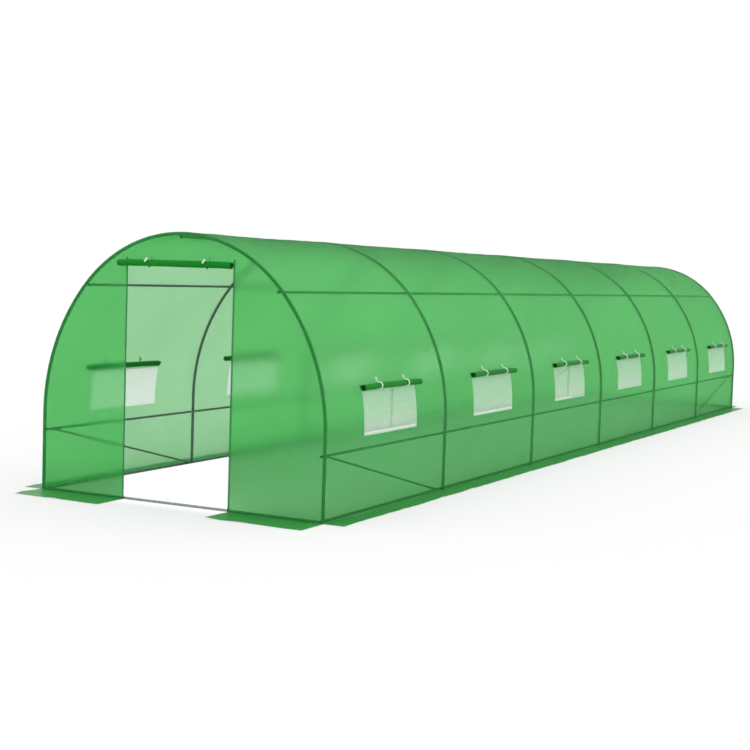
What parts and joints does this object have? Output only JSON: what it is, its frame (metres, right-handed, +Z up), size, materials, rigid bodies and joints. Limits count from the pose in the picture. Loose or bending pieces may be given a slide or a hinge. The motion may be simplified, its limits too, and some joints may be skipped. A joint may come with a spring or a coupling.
{
  "type": "polytunnel greenhouse",
  "caption": "Long round-topped garden tunnel: steel tube hoops under a woven film cover, with a doorway at one end, a rolled-up door, net windows and ground flaps.",
  "frame": {"origin": "on the ground, at the middle of the footprint's bounding box", "axes": "+X to the right when looking in at the doorway, +Y from the doorway end to the closed end, +Z up"},
  "size_m": [2.8496, 12.6296, 2.0147],
  "materials": {
    "galvanised_tube": "satin",
    "cover_film": "satin",
    "flap_film": "satin",
    "rolled_film": "satin",
    "window_net": "matte",
    "tie_cord": "matte",
    "zip_tape": "matte"
  },
  "bodies": {
    "root": {"hoop_1": "galvanised_tube", "hoop_2": "galvanised_tube", "hoop_3": "galvanised_tube", "hoop_4": "galvanised_tube", "hoop_5": "galvanised_tube", "hoop_6": "galvanised_tube", "hoop_7": "galvanised_tube", "base_rail_front": "galvanised_tube", "base_rail_rear": "galvanised_tube", "ridge_purlin": "galvanised_tube", "base_rail_left": "galvanised_tube", "purlin_low_left": "galvanised_tube", "purlin_high_left": "galvanised_tube", "brace_front_left": "galvanised_tube", "brace_rear_left": "galvanised_tube", "base_rail_right": "galvanised_tube", "purlin_low_right": "galvanised_tube", "purlin_high_right": "galvanised_tube", "brace_front_right": "galvanised_tube", "brace_rear_right": "galvanised_tube", "roof_sheet": "cover_film", "front_wall_header": "cover_film", "rear_wall": "cover_film", "ground_flap_rear": "flap_film", "side_sheet_left": "cover_film", "front_wall_left": "cover_film", "ground_flap_left": "flap_film", "ground_flap_front_left": "flap_film", "side_sheet_right": "cover_film", "front_wall_right": "cover_film", "ground_flap_right": "flap_film", "ground_flap_front_right": "flap_film", "door_roll": "rolled_film", "door_ties": "tie_cord", "door_zips": "zip_tape", "window_nets_left": "window_net", "window_rolls_left": "rolled_film", "window_ties_left": "tie_cord", "window_nets_right": "window_net", "window_rolls_right": "rolled_film", "window_ties_right": "tie_cord"}
  },
  "joints": []
}
